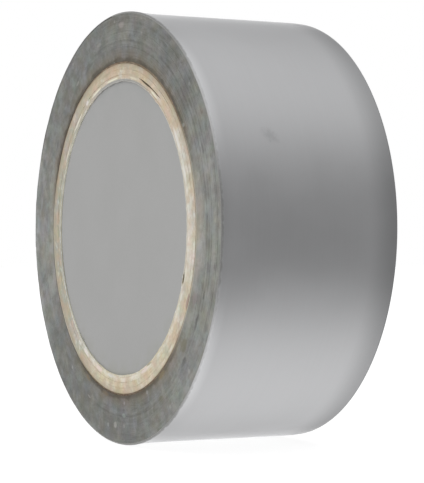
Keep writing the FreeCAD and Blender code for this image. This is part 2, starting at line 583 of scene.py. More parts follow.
def painted_edge_highlight(mat, patch):
    """Painted highlight: brighter towards the right and a little to the left, as where the fine
    turns catch the light, more so towards the core at the sides; blotched at random by patch.
    """
    radius, cosine, sine = mat.radius, mat.cosine, mat.sine
    right = cosine * 0.966 - sine * 0.259
    inner = radius.ramp(over=(45.0, 50.5), to=(1.27, 1.0))
    painted_highlight_gain = (right.ramp(over=(0.50, 0.99), to=(1.0, 1.36))
            + (-cosine).ramp(over=(0.80, 0.99), to=(0.0, 0.20)))
    side = abs(cosine).ramp(over=(0.88, 0.99))
    painted_highlight_gain = painted_highlight_gain * (1.0 + side * (inner - 1.0))
    painted_highlight_gain = painted_highlight_gain * patch.ramp(over=(0.3, 0.7), to=(0.94, 1.09))
    painted_highlight_gain = painted_highlight_gain * radius.ramp(over=(47.0, 51.0), to=(1.0, 1.03))
    left = cosine * -0.996 - sine * 0.087
    return painted_highlight_gain + radius.ramp(over=(53.2, 55.4), to=(0.0, 0.30)) * left.ramp(over=(0.72, 0.98))


def edge_flecks(mat, fine):
    """Flecks of film and thread ends in some cells of a scatter."""
    inputs = {"Vector": mat.place, "Scale": 0.30}
    distance = mat.node("TexVoronoi", 0, inputs)
    chance = mat.node("SeparateColor", 0, {0: mat.node("TexVoronoi", 1, inputs)})
    size = chance.ramp(over=(0.70, 1.0), to=(0.0, 0.20))
    wobble = (fine - 0.5) * 0.30
    return (size - (distance + abs(wobble))).ramp(over=(-0.04, 0.05))


def tape_edge_material():
    """Slit edges of the wound tape: fine turns under a smear of adhesive and dust,
    blotched grey, flecks of film and thread ends, brown next to the kraft wrap, a painted highlight
    to the right and left."""
    mat = Material("tape_edge")
    x, y, z = mat.xyz
    streak = mat.noise(mat.ring_vec(radial=1.5, around=9.0), detail=5.0, rough=0.62)
    patch = mat.noise(mat.ring_vec(radial=0.45, around=12.0), detail=4.0, rough=0.55)
    mottle = mat.noise(mat.place, scale=0.42, detail=5.0)
    tint = mat.noise(mat.place, scale=0.19, rough=0.55)
    fine = mat.noise(mat.place, scale=3.4)
    cloud = mat.noise(mat.vec(x + 90.0, y, z * 0.85), scale=0.145, rough=0.55)
    base = mat.mix(mottle.ramp(over=(0.34, 0.68)), (0.185, 0.182, 0.163), (0.300, 0.304, 0.286))
    base = base.layers((
        ((0.245, 0.226, 0.215), tint, (0.40, 0.60), (0.28, 0.0)),
        ((0.232, 0.258, 0.228), tint, (0.45, 0.65), (0.0, 0.28)),
        ((0.320, 0.325, 0.311), streak, (0.40, 0.66), (0.0, 0.30)),
        ((0.162, 0.160, 0.142), patch, (0.52, 0.72), (0.0, 0.42)),
        ((0.085, 0.083, 0.075), fine, (0.30, 0.46), (0.34, 0.0)),
        ((0.165, 0.162, 0.148), cloud, (0.34, 0.50), (0.36, 0.0)),
        ((0.345, 0.345, 0.325), cloud, (0.52, 0.68), (0.0, 0.36))))
    # dark lines between the turns
    turn = mat.math("FRACT", (mat.radius - CORE_R) / TAPE_T)
    line = abs(turn - 0.5).ramp(over=(0.34, 0.5))
    base = base.toward((0.07, 0.068, 0.06), by=line * 0.10)
    # first turns: near black against the core, then a brown haze
    ragged_r = mat.radius + (mottle - 0.5) * 2.4
    sides = pale_sides(mat)
    haze = ragged_r.ramp(over=(CORE_R + 0.6, CORE_R + 4.2), to=(0.55, 0.0))
    base = base.toward((0.235, 0.195, 0.142), by=haze * (1.0 - sides * 0.55))
    dark_by_core = (ragged_r.ramp(over=(CORE_R + 0.35, CORE_R + 1.5), to=(0.78, 0.0))
            * patch.ramp(over=(0.35, 0.60), to=(0.65, 1.0)))
    base = base.toward((0.090, 0.072, 0.046), by=dark_by_core * (1.0 - sides))
    # painted highlight on the end face, by angle round the axis
    painted_highlight_gain = painted_edge_highlight(mat, patch)
    base = base.times(painted_highlight_gain, painted_highlight_gain, painted_highlight_gain)
    fleck = edge_flecks(mat, fine)
    base = base.toward((0.46, 0.455, 0.43), by=fleck * 0.50)
    base = mat.drift(base, scale=0.23, red=0.30, blue=0.42).times_colour((0.985, 1.0, 0.997))
    base = mat.marks(base, FRONT_MARKS, mottle, behind=-20.0)
    return mat.finish(base, roughness=streak.ramp(over=(0.3, 0.7), to=(0.50, 0.66)),
                      specular=0.42, relief=mottle + fine * 0.4 + fleck * 0.25 - line * 0.2,
                      strength=0.5, depth_m=0.00014)


def gauze_material():
    mat = Material("tape_gauze")
    fibre = mat.noise(mat.place, scale=6.0, detail=4.0)
    base = mat.mix(fibre.ramp(over=(0.3, 0.7)), (0.52, 0.51, 0.47), (0.74, 0.73, 0.69))
    return mat.finish(base, roughness=0.85, specular=0.3, relief=fibre, strength=0.5,
                      depth_m=0.00004)


def adhesive_material():
    """Natural-rubber adhesive: grey, tacky sheen, drawn into the mesh of the cloth."""
    mat = Material("tape_adhesive")
    along, across = mat.strip_uv()
    lump = mat.noise(mat.vec(along, across, 0.0), scale=0.9, detail=4.0)
    fine = mat.noise(mat.vec(along, across, 4.0), scale=4.0)
    base = mat.mix(lump.ramp(over=(0.3, 0.7)), (0.33, 0.33, 0.31), (0.43, 0.43, 0.405))
    base = base.layers((((0.56, 0.56, 0.53), fine, (0.6, 0.75), (0.0, 0.4)),))
    slit = abs(across).ramp(over=(24.80, 24.95))
    base = base.toward((0.225, 0.225, 0.21), by=slit * 0.9)
    return mat.finish(base, roughness=lump.ramp(over=(0.3, 0.7), to=(0.28, 0.42)), specular=0.5,
                      relief=lump + fine * 0.5, strength=0.5, depth_m=0.0001)


# --- core materials ---------------------------------------------------------------
def paper_tint(mat):
    """Core paper seen on its ends: cream to the right, yellower below, peach at the
    top, dull on the left of the front end."""
    base = mat.mix((-mat.sine).ramp(over=(0.25, 0.85)), (0.80, 0.745, 0.63), (0.79, 0.705, 0.52))
    base = base.toward((0.73, 0.60, 0.45), by=mat.sine.ramp(over=(0.45, 0.95)))
    on_end = mat.xyz[1].ramp(over=(-23.0, -24.2))
    left = mat.cosine.ramp(over=(-0.25, -0.88))
    return base.toward((0.50, 0.492, 0.418), by=left * on_end)


WHITE, CREAM = (0.95, 0.93, 0.87), (0.95, 0.92, 0.74)
# marks on the core's front end; columns as in FRONT_MARKS; the dark mark at 341.5 is painted shade
# in the notch, the cream marks from 97 to 148 a painted highlight
END_MARKS = [
    # painted shade: dark mark in the notch at the right
    (341.5, 38.95, 1.3, 0.42, (0.24, 0.205, 0.12), 0.90),
    (297, 38.8, 1.3, 0.28, (0.33, 0.28, 0.18), 0.60),
    (252, 38.7, 1.1, 0.28, (0.36, 0.31, 0.21), 0.50),
    (238, 39.5, 1.9, 0.65, (0.95, 0.88, 0.82), 0.80),
    (231, 40.0, 1.2, 0.50, WHITE, 0.60), (251.5, 39.4, 2.0, 0.75, (0.94, 0.80, 0.72), 0.80),
    (262, 39.2, 1.5, 0.50, (0.86, 0.84, 0.80), 0.60),
    (293, 39.2, 2.2, 0.60, (0.91, 0.79, 0.73), 0.75),
    (283, 39.0, 1.4, 0.35, (0.93, 0.86, 0.76), 0.60), (33, 39.8, 3.4, 0.65, WHITE, 0.60),
    (20, 39.6, 2.6, 0.55, WHITE, 0.55), (121, 40.0, 1.0, 0.55, (0.93, 0.88, 0.85), 0.75),
    # painted highlight: the cream marks at 97, 112, 133 and 148 degrees, along the inner edge at
    # the top
    (59, 39.45, 2.4, 0.30, CREAM, 0.90), (97, 39.5, 3.6, 0.34, CREAM, 0.90),
    (112, 39.5, 3.0, 0.34, CREAM, 0.90), (133, 39.5, 3.2, 0.32, (0.95, 0.92, 0.78), 0.80),
    (148, 39.4, 3.0, 0.30, (0.90, 0.87, 0.74), 0.65),
    (78, 39.7, 2.2, 0.26, (0.90, 0.86, 0.68), 0.60),
    (101, 41.6, 2.2, 0.60, (0.50, 0.45, 0.31), 0.60),
    (69, 42.5, 1.3, 0.40, (0.60, 0.43, 0.34), 0.50),
    (78, 41.0, 1.6, 0.35, (0.62, 0.45, 0.33), 0.40),
    (315, 42.6, 1.2, 0.40, WHITE, 0.40), (165, 41.0, 2.6, 0.60, (0.47, 0.47, 0.38), 0.40),
    (335, 42.9, 1.8, 0.45, (0.36, 0.25, 0.24), 0.65),
    (322, 43.0, 2.0, 0.40, (0.40, 0.30, 0.22), 0.50),
    (205, 40.6, 3.2, 0.80, (0.50, 0.50, 0.41), 0.35),
    (268, 41.8, 1.6, 0.35, (0.62, 0.52, 0.34), 0.40),
]


def marks_and_dust(mat, base, mark_wobble, dust_wobble):
    """The front end's marks, and grey dust packed between the disc and the lip at the
    top of the mouth."""
    base = mat.marks(base, END_MARKS, mark_wobble, behind=-24.3)
    edge = mat.radius + (dust_wobble - 0.5) * 0.8
    amount = (edge.ramp(over=(39.05, 39.40), to=(0.90, 0.0)) * mat.sine.ramp(over=(0.86, 0.97))
              * mat.xyz[1].ramp(over=(-24.1, -24.5)))
    return base.toward((0.455, 0.455, 0.435), by=amount)


def board_material():
    """Chipboard plies on their cut ends: pressed fibre, blotched, with faint ply lines;
    dark brown on the hidden faces, painted shade where a gap shows them."""
    mat = Material("core_board")
    x, y, z = mat.xyz
    radius, cosine, sine = mat.radius, mat.cosine, mat.sine
    fibre = mat.noise(mat.ring_vec(radial=2.2, around=26.0), detail=5.0, rough=0.65)
    pulp = mat.noise(mat.place, scale=1.7, detail=5.0, rough=0.62)
    blotch = mat.noise(mat.place, scale=0.42, detail=4.0)
    hue = mat.noise(mat.vec(x + 40.0, y, z), scale=0.24)
    base = paper_tint(mat).layers((
        ((0.80, 0.66, 0.56), hue, (0.36, 0.50), (0.40, 0.0)),
        ((0.80, 0.73, 0.50), hue, (0.52, 0.66), (0.0, 0.40)),
        ((0.66, 0.50, 0.36), blotch, (0.34, 0.60), (0.55, 0.0)),
        ((0.90, 0.86, 0.76), blotch, (0.52, 0.72), (0.0, 0.65)),
        ((0.50, 0.40, 0.28), fibre, (0.32, 0.55), (0.35, 0.0)),
        ((0.93, 0.90, 0.82), pulp, (0.60, 0.78), (0.0, 0.55))))
    for ply_edge in (PLY1_R, PLY2_R):
        line = abs(radius - ply_edge).ramp(over=(0.02, 0.18), to=(0.22, 0.0))
        base = base.toward((0.36, 0.27, 0.17), by=line * blotch.ramp(over=(0.40, 0.60)))
    # brown against the kraft wrap, and stained over the outer plies
    off_pale_sides = 1.0 - pale_sides(mat) * 0.8
    outermost = radius.ramp(over=(PLY3_R - 0.55, PLY3_R + 0.1), to=(0.0, 0.45))
    base = base.toward((0.40, 0.29, 0.17), by=outermost * off_pale_sides)
    top_or_left = mat.math("MAXIMUM", sine.ramp(over=(0.10, 0.70)), cosine.ramp(over=(0.50, -0.20)))
    stain = radius.ramp(over=(41.4, 43.0), to=(0.0, 0.50)) * top_or_left
    base = base.toward((0.44, 0.355, 0.245), by=stain)
    outer = radius.ramp(over=(40.4, 41.4)) * hue.ramp(over=(0.50, 0.62), to=(0.0, 0.45))
    base = base.toward((0.60, 0.485, 0.40), by=outer)
    base = mat.drift(base, scale=0.26, red=0.42, blue=0.42).times_colour((0.955, 0.985, 0.985))
    # bright torn fibre towards the bore, except at the left
    rim = (radius.ramp(over=(LINER_R + 0.2, LINER_R + 1.6), to=(0.55, 0.0))
           * blotch.ramp(over=(0.40, 0.60), to=(0.35, 1.0)))
    rim = rim * sine.ramp(over=(0.30, 0.85), to=(1.0, 0.25))
    base = base.toward((0.93, 0.90, 0.80), by=rim * cosine.ramp(over=(-0.75, -0.35)))
    base = marks_and_dust(mat, base, blotch, pulp)
    # painted shade: dark brown on the ply walls behind the front end, where a ply has come away
    # from the next
    gap_wall_shade = abs(mat.outwardness()).ramp(over=(0.35, 0.7)) * y.ramp(over=(-24.97, -24.80))
    base = base.toward((0.21, 0.17, 0.12), by=gap_wall_shade)
    return mat.finish(base, roughness=0.92, specular=0.25, relief=fibre + pulp * 0.9,
                      strength=0.6, depth_m=0.00014)


def liner_material():
    """White-cream paper, smooth on the bore wall, fuzzy on its torn lip; the lip's inner wall
    painted a lighter cream as a highlight, and dark brown painted shade on the face that was stuck
    to the board."""
    mat = Material("core_liner_paper")
    y = mat.xyz[1]
    fibre = mat.noise(mat.place, scale=2.6, detail=6.0, rough=0.65)
    cloud = mat.noise(mat.place, scale=0.12, rough=0.5)
    tuft = mat.noise(mat.place, scale=0.55, detail=4.0)
    wall = mat.mix(cloud.ramp(over=(0.3, 0.7)), (0.74, 0.69, 0.56), (0.80, 0.76, 0.64))
    on_end = y.ramp(over=(-24.1, -24.5))
    base = wall.toward(paper_tint(mat), by=on_end)
    base = base.layers((((0.56, 0.48, 0.34), fibre, (0.32, 0.5), (0.25, 0.0)),))
    # white tufts, thickest at the lower left
    low_left = (mat.cosine * -0.66 + mat.sine * -0.75).ramp(over=(0.90, 0.98)) * on_end
    white = low_left * 0.35 + tuft.ramp(over=(0.45, 0.68), to=(0.0, 0.62))
    base = base.toward((0.93, 0.915, 0.86), by=white * on_end)
    base = base.layers((((0.92, 0.90, 0.83), fibre, (0.58, 0.75), (0.0, 0.5)),))
    base = base.times_colour((0.935, 0.955, 0.965))
    base = marks_and_dust(mat, base, tuft, fibre)
    outward = mat.outwardness()
    # painted highlight: the lip's inner wall lightened to pale cream against the shade of the
    # mouth, except at the top
    inward = (outward.ramp(over=(-0.35, -0.80))
              * (on_end * mat.sine.ramp(over=(0.95, 0.75))))
    base = base.toward((0.93, 0.90, 0.74), by=inward * 0.80)
    # painted shade: dark brown on the outer face near the front, seen in the gap where the liner
    # has come away
    hidden = outward.ramp(over=(0.3, 0.7)) * y.ramp(over=(-24.90, -24.60))
    base = base.toward((0.20, 0.15, 0.095), by=hidden)
    return mat.finish(base, roughness=0.88, specular=0.3, relief=fibre, strength=0.35,
                      depth_m=0.00008)


def kraft_material():
    """Brown wrap, a little lighter to the upper right and paler at the sides."""
    mat = Material("core_kraft_paper")
    fibre = mat.noise(mat.ring_vec(radial=3.0, around=30.0), detail=4.0)
    base = mat.mix(fibre.ramp(over=(0.3, 0.7)), (0.165, 0.120, 0.082), (0.33, 0.262, 0.188))
    upper_right = mat.cosine * 0.643 + mat.sine * 0.766
    gain = upper_right.ramp(over=(-0.2, 0.9), to=(0.92, 1.18))
    base = base.times(gain, gain, gain)
    base = base.toward((0.66, 0.61, 0.50), by=pale_sides(mat) * 0.92)
    base = mat.drift(base, scale=0.25, red=0.30, blue=0.30)
    return mat.finish(base, roughness=0.85, specular=0.3, relief=fibre, strength=0.5,
                      depth_m=0.00008)


# --- disc materials ---------------------------------------------------------------
def disc_face_material():
    """Plain grey paper facing: faint fibre and calender marks, grime towards the rim."""
    mat = Material("disc_paper")
    x, y, z = mat.xyz
    fibre = mat.noise(mat.vec(x * 1.0, y * 1.0, z * 0.55), scale=3.0, detail=6.0, rough=0.62)
    cloud = mat.noise(mat.place, scale=0.07, rough=0.5)
    base = mat.mix(cloud.ramp(over=(0.3, 0.7)), (0.448, 0.448, 0.437), (0.460, 0.460, 0.450))
    base = base.layers((
        ((0.49, 0.49, 0.48), fibre, (0.35, 0.7), (0.0, 0.25)),
        ((0.39, 0.39, 0.38), fibre, (0.25, 0.42), (0.20, 0.0))))
    smear = mat.noise(mat.place, scale=0.20, detail=4.0)
    near_rim = mat.radius.ramp(over=(33.0, 38.2)) * smear.ramp(over=(0.38, 0.60))
    below = (-mat.sine).ramp(over=(0.30, 0.90), to=(0.0, 0.45))
    above = mat.sine.ramp(over=(0.50, 0.95), to=(0.0, 0.40))
    base = base.toward((0.41, 0.41, 0.36), by=near_rim * below)
    base = base.toward((0.41, 0.42, 0.41), by=near_rim * above)
    return mat.finish(base, roughness=0.80, specular=0.25, relief=fibre, strength=0.22,
                      depth_m=0.00004)


def disc_board_material():
    mat = Material("disc_board")
    fibre = mat.noise(mat.place, scale=1.8, detail=6.0, rough=0.66)
    specks = mat.noise(mat.place, scale=5.0, detail=2.0)
    base = mat.mix(fibre.ramp(over=(0.32, 0.68)), (0.42, 0.40, 0.35), (0.60, 0.58, 0.51))
    base = base.layers((((0.22, 0.20, 0.18), specks, (0.66, 0.74), (0.0, 0.6)),))
    return mat.finish(base, roughness=0.92, specular=0.2, relief=fibre, strength=0.5,
                      depth_m=0.0001)


FILM = film_material()
EDGE = tape_edge_material()
BOARD = board_material()
LINER = liner_material()
KRAFT = kraft_material()
DISC_FACE = disc_face_material()
DISC_BOARD = disc_board_material()
GAUZE = gauze_material()
ADHESIVE = adhesive_material()

# --- shape of the strip -------------------------------------------------------------
# distances from an edge of the strip at which its width is sampled
EDGE_STEPS = [0.12, 0.22, 0.38, 0.6, 0.85, 1.15, 1.5, 1.95, 2.5, 3.2, 4.0]


def width_samples(middle=26):
    edge = np.array([0.0, 0.05] + EDGE_STEPS)
    inner = np.linspace(-HALF_W + 5.0, HALF_W - 5.0, middle)
    return np.concatenate([-HALF_W + edge, inner, HALF_W - edge[::-1]])


def far_droop(y):
    """How far the pack's back corner is pressed round."""
    from_back = HALF_W - y
    return (-0.16 * (np.clip(4.0 - from_back, 0, None) / 4.0) ** 2
            - 0.08 * smooth(0.3, 0.0, from_back))


def front_flare(deg, y):
    """How far a turn's front edge flares off the roll."""
    from_front = y + HALF_W
    lip = 0.40 + 0.05 * ring_noise(np.radians(deg), 9, 71)
    return (lip * np.exp(-np.clip(from_front - 0.55, 0, None) / 2.6)
            - 0.30 * (np.clip(0.55 - from_front, 0, None) / 0.55) ** 2)


def film_rise(deg, y):
    """How far the film's top stands off its nominal arc."""
    deg, y = np.broadcast_arrays(np.asarray(deg, float), np.asarray(y, float))
    rise = front_flare(deg, y) + far_droop(y)
    rise = rise + 0.012 * field_noise(across_width(y), np.radians(deg) / TAU, 5, 18, 83)
    # the last few millimetres of the free end curl up, more at the back
    curl = 0.55 * smooth(FREE_END + 354.5, FREE_END + 360.0, deg) ** 1.5
    return rise + curl * (0.10 + 0.90 * smooth(-21.0, -8.0, y))


def film_front(deg):
    """Waviness of the slit edge along Y."""
    phi = np.radians(deg)
    return 0.07 * ring_noise(phi, 40, 5) + 0.04 * ring_noise(phi, 150, 6)


def film_grid(deg, y, depth, rise=None):
    """Points of a layer depth below the film's top."""
    arc_r, centre = strip_arc(deg)
    if rise is None:
        rise = film_rise(deg[:, None], y[None, :])
    radius = (arc_r - depth)[:, None] + rise
    points = centre[:, None, :] + unit(deg)[:, None, :] * radius[..., None]
    points[..., 1] = y[None, :] + film_front(deg)[:, None] * smooth(2.0, 0.0, y + HALF_W)[None, :]
    return points


def strip_uv_grid(deg, y):
    return np.stack(np.meshgrid(np.radians(deg) * TOP_R, y, indexing="ij"), -1)


# --- wound tape -----------------------------------------------------------------------
def wound_tape():
    """All turns below the last as one ring with a groove between turns on its faces."""
    columns = 384
    deg = FREE_END + np.linspace(0.01, 359.99, columns)
    phi = np.radians(deg)
    outer_r = np.linalg.norm(strip_point(deg, TAPE_T), axis=-1)
    in_turn = np.array([0.0, 0.25, 0.75])        # radial samples of each turn
    share = ((np.arange(TURNS)[:, None] + in_turn[None, :]) / TURNS).ravel()
    turn = np.repeat(np.arange(TURNS), 3)
    groove = np.tile([1.0, 0.0, 0.0], TURNS)

    def relief(seed, step_turn, line_turn, line_at):
        """How far an end face stands out."""
        draws = rng(seed)
        per_turn = draws.normal(0, 0.012, TURNS)
        window = np.hanning(7) / np.hanning(7).sum()
        slow = np.convolve(draws.normal(0, 0.07, TURNS + 20), window, "same")[10:-10]
        u, v = share[:, None], (phi / TAU)[None, :]
        height = (per_turn + slow)[turn][:, None] - 0.030 * groove[:, None]
        height = height + 0.070 * field_noise(u, v, 12, 26, seed + 5)
        height += 0.022 * field_noise(u, v, 10, 110, seed + 9, octaves=2)
        # a step between two turns, strongest at the right, with a groove along it
        side = arc_bump(deg, -15.0, 95) * 0.85 + 0.15
        ragged = side * (0.55 + 0.45 * ring_noise(phi, 7, seed + 2))
        height += 0.06 * (smooth(step_turn, step_turn + 2, turn)[:, None] - 0.5) * side
        height -= 0.15 * bump_at(turn, step_turn, 1.6)[:, None] * ragged
        # a second groove over part of the circle
        height -= 0.22 * bump_at(turn, line_turn, 1.5)[:, None] * arc_bump(deg, line_at, 60)
        fade = smooth(0, 2, turn)[:, None] * smooth(TURNS - 1, TURNS - 3, turn)[:, None]
        return height * (0.25 + 0.75 * fade)

    face_r = CORE_R + share[:, None] * (outer_r[None, :] - CORE_R)
    front = relief(11, step_turn=25, line_turn=61, line_at=0.0)
    back = relief(47, step_turn=40, line_turn=56, line_at=200.0)
    barrel_y = np.concatenate([
        -HALF_W + np.array([0.02] + EDGE_STEPS + [5.5, 8.0, 12.0]), [-8.0, 8.0],
        HALF_W - np.array([4.5, 3.2, 2.1, 1.2, 0.6, 0.3, 0.15, 0.02])])
    bore_y = np.array([HALF_W - 0.3, 8.0, -8.0, -HALF_W + 0.3])
    # the turn below the free end flares into the start of the last turn
    flare = (front_flare(deg[None, :], barrel_y[:, None])
             * smooth(FREE_END + 322.0, FREE_END + 359.0, deg)[None, :])
    droop = far_droop(HALF_W) * smooth(0.90, 1.0, share)[:, None]
    # rows round the section: front face, barrel, back face, bore
    radius = np.concatenate([face_r, outer_r[None, :] + far_droop(barrel_y)[:, None] + flare,
                             (face_r + droop)[::-1], np.full((len(bore_y), columns), CORE_R)])
    y = np.concatenate([-(HALF_W + front), np.repeat(barrel_y[:, None], columns, 1),
                        (HALF_W + back)[::-1], np.repeat(bore_y[:, None], columns, 1)])
    row_material = np.zeros(len(radius), int)
    row_material[len(share):len(share) + len(barrel_y) - 1] = 1
    ob = ring_piece("wound_tape_turns", radius, y, phi, [EDGE, FILM], sharp=50,
                    face_material=np.repeat(row_material, columns),
                    uv=np.stack([phi * TOP_R + 0 * y, y], -1))
    mount(ob, "roll", ["wound_tape"])


# --- the last turn ----------------------------------------------------------------------
def last_turn():
    """Film, cloth and adhesive from the free end's angle round to the tail."""
    def samples(step):
        return np.append(np.arange(FREE_END, TAIL_START - 0.1, step), TAIL_START - 0.001)

    deg, y = samples(0.6), width_samples()
    film = slab("last_turn_film", film_grid(deg, y, 0.0), film_grid(deg, y, FILM_T), FILM,
                strip_uv_grid(deg, y), sharp=45)
    mount(film, "roll", ["last_turn_backing"])
    deg, y = samples(1.0), width_samples(14)
    uv = strip_uv_grid(deg, y)
    under_cloth = film_grid(deg, y, FILM_T + GAUZE_T)
    cloth = slab("last_turn_cloth", film_grid(deg, y, FILM_T), under_cloth, GAUZE, uv)
    mount(cloth, "roll", ["last_turn_gauze"])
    glue = slab("last_turn_glue", under_cloth,
                film_grid(deg, y, TAPE_T, far_droop(y)[None, :]), ADHESIVE, uv)
    mount(glue, "roll", ["last_turn_adhesive"])


# --- the tail ---------------------------------------------------------------------------
JOINTS = [TAIL_START + sum(ARCS[:i]) for i in range(len(ARCS) + 1)]   # the last is the end
MIDDLES = [(a + b) / 2.0 for a, b in zip(JOINTS[:-1], JOINTS[1:])]
# the tail's nine pieces: angles they are cut at, joint each would bend across, lengths replaced
CUTS = [JOINTS[0] + 0.001, *MIDDLES[:3], JOINTS[3], *MIDDLES[3:7], JOINTS[8]]
BENDS = (1, 2, 3, 4, 4, 5, 6, 7, 8)
LENGTHS = ((1,), (1, 2), (2, 3), (3,), (4,), (4, 5), (5, 6), (6, 7), (7, 8))
LONG_BEND_HALF = 20.1        # half the run of a bend on the long arcs
# thread section, six-sided: offset to the side, offset inward
THREAD = np.array([(0.075, 0.0), (0.04, 0.028), (-0.04, 0.028),
                   (-0.075, 0.0), (-0.04, -0.022), (0.04, -0.022)])
THREAD_DEPTH = FILM_T + 0.055


def bend_line(number, joint):
    """Start and end, in metres, of the run a piece would bend over."""
    hinge = strip_point(JOINTS[joint - 1], 0.0)
    if joint == 1:
        ends = hinge, strip_point(MIDDLES[0], 0.0)
    elif joint < 4:
        ends = strip_point(MIDDLES[joint - 2], 0.0), strip_point(MIDDLES[joint - 1], 0.0)
    elif number == 3:
        near = strip_point(MIDDLES[2], 0.0)
        ends = near, 2.0 * hinge - near
    else:
        reach = tangent(JOINTS[joint - 1]) * LONG_BEND_HALF
        ends = hinge - reach, hinge + reach
    return [tuple(float(value) / 1000.0 for value in end) for end in ends]


def tail_film(name, start, end, torn):
    deg = np.linspace(start, end, max(4, int(round((end - start) / 0.5))) + 1)
    y = width_samples()
    top, bottom = film_grid(deg, y, 0.0), film_grid(deg, y, FILM_T)
    if torn:
        # the cut wanders a little
        width, zero = across_width(y), np.zeros_like(y)
        ragged = (0.10 * field_noise(zero, width, 1, 14, 91, wrap_v=False)
                  + 0.05 * field_noise(zero, width, 1, 60, 92, wrap_v=False))
        push = smooth(end - 1.2, end, deg)[:, None] * ragged[None, :]
        push = tangent(deg)[:, None, :] * push[..., None]
        top, bottom = top + push, bottom + push
    return slab(name, top, bottom, FILM, strip_uv_grid(deg, y), sharp=45)


def tail_glue(name, start, end):
    """Adhesive drawn into the cloth's windows, thinner between threads."""
    steps = max(4, int(round(math.radians(end - start) * TOP_R / 0.22)))
    deg = np.linspace(start, end, steps + 1)
    y = np.concatenate([[-HALF_W, -HALF_W + 0.12],
                        np.linspace(-HALF_W + 0.3, HALF_W - 0.3, 180), [HALF_W - 0.12, HALF_W]])
    along = np.radians(deg)[:, None] * TOP_R
    wave = np.maximum(np.cos(TAU * y[None, :] / WARP_PITCH) ** 8,
                      0.8 * np.cos(math.pi * along / WEFT_PITCH) ** 16)
    under = 0.020 * wave + 0.010 * field_noise(across_width(y)[None, :], along / 90, 24, 40, 66,
                                               octaves=2)
    bottom = film_grid(deg, y, FILM_T + 0.065)
    bottom = bottom - unit(deg)[:, None, :] * np.clip(under, -0.01, 0.03)[..., None]
    return slab(name, film_grid(deg, y, FILM_T), bottom, ADHESIVE, strip_uv_grid(deg, y),
                sharp=60)


def tail_cloth(name, start, end, torn):
    """Warp and weft threads of one piece, each a flat six-sided ribbon."""
    points, faces = [], []
    sides = len(THREAD)

    def ribbon(deg, y, wave, side, sway=0.0):
        """Thread along deg and y, waving in and out and swaying along Y."""
        outward = unit(deg)
        centre = outward * (TOP_R - THREAD_DEPTH + wave + film_rise(deg, y))[:, None]
        centre[:, 1] = y + sway
        first = sides * sum(len(ring) for ring in points)
        points.append(centre[:, None, :] + side[:, None, :] * THREAD[None, :, 0, None]
                      - outward[:, None, :] * THREAD[None, :, 1, None])
        faces.append(quads(len(deg), sides, False, True) + first)
        cap = np.array([[0, 1, 2, 3], [0, 3, 4, 5]]) + first
        faces.append(cap[:, ::-1])
        faces.append(cap + (len(deg) - 1) * sides)

    from_u, to_u = math.radians(start) * TOP_R, math.radians(end) * TOP_R
    draws = rng(int(start * 7))
    steps = max(4, int((to_u - from_u) / 0.52))
    for k, y in enumerate(np.arange(-HALF_W + 0.85, HALF_W - 0.3, WARP_PITCH)):
        extra = draws.uniform(0.0, 0.55) if torn else 0.0
        along = np.linspace(from_u, to_u + extra, steps + 1)
        ribbon(np.degrees(along / TOP_R), y,
               wave=0.010 * np.cos(TAU * along / (2 * WEFT_PITCH) + math.pi * k),
               side=np.array([[0.0, 1.0, 0.0]]), sway=0.04 * np.sin(along * 0.9 + k))
    first_weft = math.ceil(from_u / WEFT_PITCH) * WEFT_PITCH
    y = np.linspace(-HALF_W + 0.05, HALF_W - 0.05, 79)
    for k, along in enumerate(np.arange(first_weft, to_u, WEFT_PITCH)):
        deg = np.degrees((along + 0.05 * np.sin(y * 0.7 + k)) / TOP_R)
        ribbon(deg, y, wave=-0.010 * np.cos(TAU * y / (2 * WARP_PITCH) + math.pi * k),
               side=tangent(deg))
    return piece(name, np.concatenate([ring.reshape(-1, 3) for ring in points]),
                 np.concatenate(faces), [GAUZE], sharp=None)


def tail():
    """The free end.  Nine pieces, each spanning one joint.

    The run each piece would bend over is worked out, and over the long arcs it
    reaches past both ends of the piece, but the pieces are not bent."""
    for i, (joint, lengths) in enumerate(zip(BENDS, LENGTHS)):
        start, end = CUTS[i], CUTS[i + 1]
        torn = i == len(BENDS) - 1
        film = tail_film("tail_film_%d" % (i + 1), start, end, torn)
        glue = tail_glue("tail_glue_%d" % (i + 1), start, end)
        cloth = tail_cloth("tail_cloth_%d" % (i + 1), start, end, torn)
        bend_start, bend_end = bend_line(i, joint)
        for ob, layer, slot in ((film, "backing", "tape_film"),
                                (glue, "adhesive", "tape_adhesive"),
                                (cloth, "gauze", "tape_gauze")):
            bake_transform(ob)
            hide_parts(*["tail_%d_%s" % (number, layer) for number in lengths])


